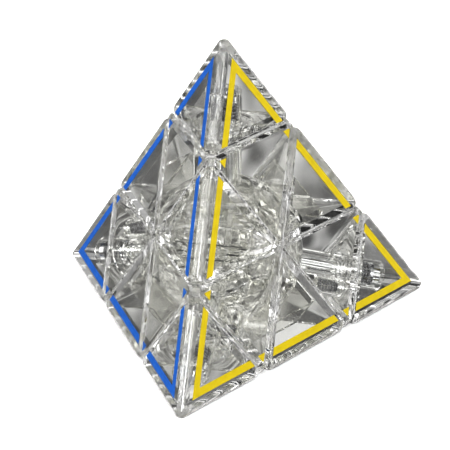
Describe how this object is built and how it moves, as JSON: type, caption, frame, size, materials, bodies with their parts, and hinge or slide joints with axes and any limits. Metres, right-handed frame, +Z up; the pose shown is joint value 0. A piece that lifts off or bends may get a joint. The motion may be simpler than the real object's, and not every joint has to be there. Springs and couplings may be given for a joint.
{
  "type": "pyramid twisty puzzle",
  "caption": "Clear tetrahedral twisty puzzle with turning corner tips, a turning top layer, sprung axles and coloured outlines on its faces.",
  "frame": {"origin": "centre of the core hub, where the four turning axes meet, which is also the centroid of the puzzle", "axes": "+Z up along the top axle to the apex, the puzzle stands on the face at z = -20 mm; front vertex on -Y, right and left vertices towards +X and -X"},
  "size_m": [0.0936, 0.0813, 0.0764],
  "materials": {
    "clear_shell": "clear polished styrene",
    "clear_inner": "clear moulded styrene, slightly hazy",
    "hub_plastic": "clear moulded styrene, slightly hazy",
    "screw_steel": "bright plated steel",
    "spring_steel": "dark drawn wire",
    "outline_blue": "printed outline",
    "outline_yellow": "printed outline",
    "outline_white": "printed outline",
    "outline_silver": "printed outline"
  },
  "bodies": {
    "core": {"core_hub": "hub_plastic", "axle_screw_top": "screw_steel", "axle_washer_top": "screw_steel", "axle_spring_top": "spring_steel", "axle_screw_front": "screw_steel", "axle_washer_front": "screw_steel", "axle_spring_front": "spring_steel", "axle_screw_right": "screw_steel", "axle_washer_right": "screw_steel", "axle_spring_right": "spring_steel", "axle_screw_left": "screw_steel", "axle_washer_left": "screw_steel", "axle_spring_left": "spring_steel", "axial_shell_front": "clear_shell", "axial_foot_front": "clear_inner", "click_spring_front": "spring_steel", "axial_shell_right": "clear_shell", "axial_foot_right": "clear_inner", "click_spring_right": "spring_steel", "axial_shell_left": "clear_shell", "axial_foot_left": "clear_inner", "click_spring_left": "spring_steel", "edge_shell_front_left": "clear_shell", "edge_foot_front_left": "clear_inner", "edge_shell_front_right": "clear_shell", "edge_foot_front_right": "clear_inner", "edge_shell_left_right": "clear_shell", "edge_foot_left_right": "clear_inner"},
    "top_layer": {"axial_shell_top": "clear_shell", "axial_foot_top": "clear_inner", "click_spring_top": "spring_steel", "edge_shell_top_front": "clear_shell", "edge_foot_top_front": "clear_inner", "edge_shell_top_right": "clear_shell", "edge_foot_top_right": "clear_inner", "edge_shell_top_left": "clear_shell", "edge_foot_top_left": "clear_inner"},
    "tip_top": {"tip_shell_top": "clear_shell", "tip_base_top": "clear_inner"},
    "tip_front": {"tip_shell_front": "clear_shell", "tip_base_front": "clear_inner"},
    "tip_right": {"tip_shell_right": "clear_shell", "tip_base_right": "clear_inner"},
    "tip_left": {"tip_shell_left": "clear_shell", "tip_base_left": "clear_inner"},
    "click_pin_top": {"click_pin_top": "screw_steel"},
    "click_pin_front": {"click_pin_front": "screw_steel"},
    "click_pin_right": {"click_pin_right": "screw_steel"},
    "click_pin_left": {"click_pin_left": "screw_steel"}
  },
  "joints": [
    {"name": "top_layer_turn", "type": "hinge", "parent": "core", "child": "top_layer", "pos_m": [0, 0, 0], "axis": [0, 0, 1], "continuous": true},
    {"name": "tip_top_turn", "type": "hinge", "parent": "top_layer", "child": "tip_top", "pos_m": [0, 0, 0], "axis": [0, 0, 1], "continuous": true},
    {"name": "tip_front_turn", "type": "hinge", "parent": "core", "child": "tip_front", "pos_m": [0, 0, 0], "axis": [0, -0.9428, -0.3333], "continuous": true},
    {"name": "tip_right_turn", "type": "hinge", "parent": "core", "child": "tip_right", "pos_m": [0, 0, 0], "axis": [0.8165, 0.4714, -0.3333], "continuous": true},
    {"name": "tip_left_turn", "type": "hinge", "parent": "core", "child": "tip_left", "pos_m": [0, 0, 0], "axis": [-0.8165, 0.4714, -0.3333], "continuous": true},
    {"name": "click_pin_top_press", "type": "slide", "parent": "top_layer", "child": "click_pin_top", "axis": [0, 0, 1], "range_m": [-0.0008, 0], "stiffness_N_per_m": 300, "springref_m": 0.0015, "deforming": ["click_spring_top"]},
    {"name": "click_pin_front_press", "type": "slide", "parent": "core", "child": "click_pin_front", "axis": [0, -0.9428, -0.3333], "range_m": [-0.0008, 0], "stiffness_N_per_m": 300, "springref_m": 0.0015, "deforming": ["click_spring_front"]},
    {"name": "click_pin_right_press", "type": "slide", "parent": "core", "child": "click_pin_right", "axis": [0.8165, 0.4714, -0.3333], "range_m": [-0.0008, 0], "stiffness_N_per_m": 300, "springref_m": 0.0015, "deforming": ["click_spring_right"]},
    {"name": "click_pin_left_press", "type": "slide", "parent": "core", "child": "click_pin_left", "axis": [-0.8165, 0.4714, -0.3333], "range_m": [-0.0008, 0], "stiffness_N_per_m": 300, "springref_m": 0.0015, "deforming": ["click_spring_left"]}
  ]
}
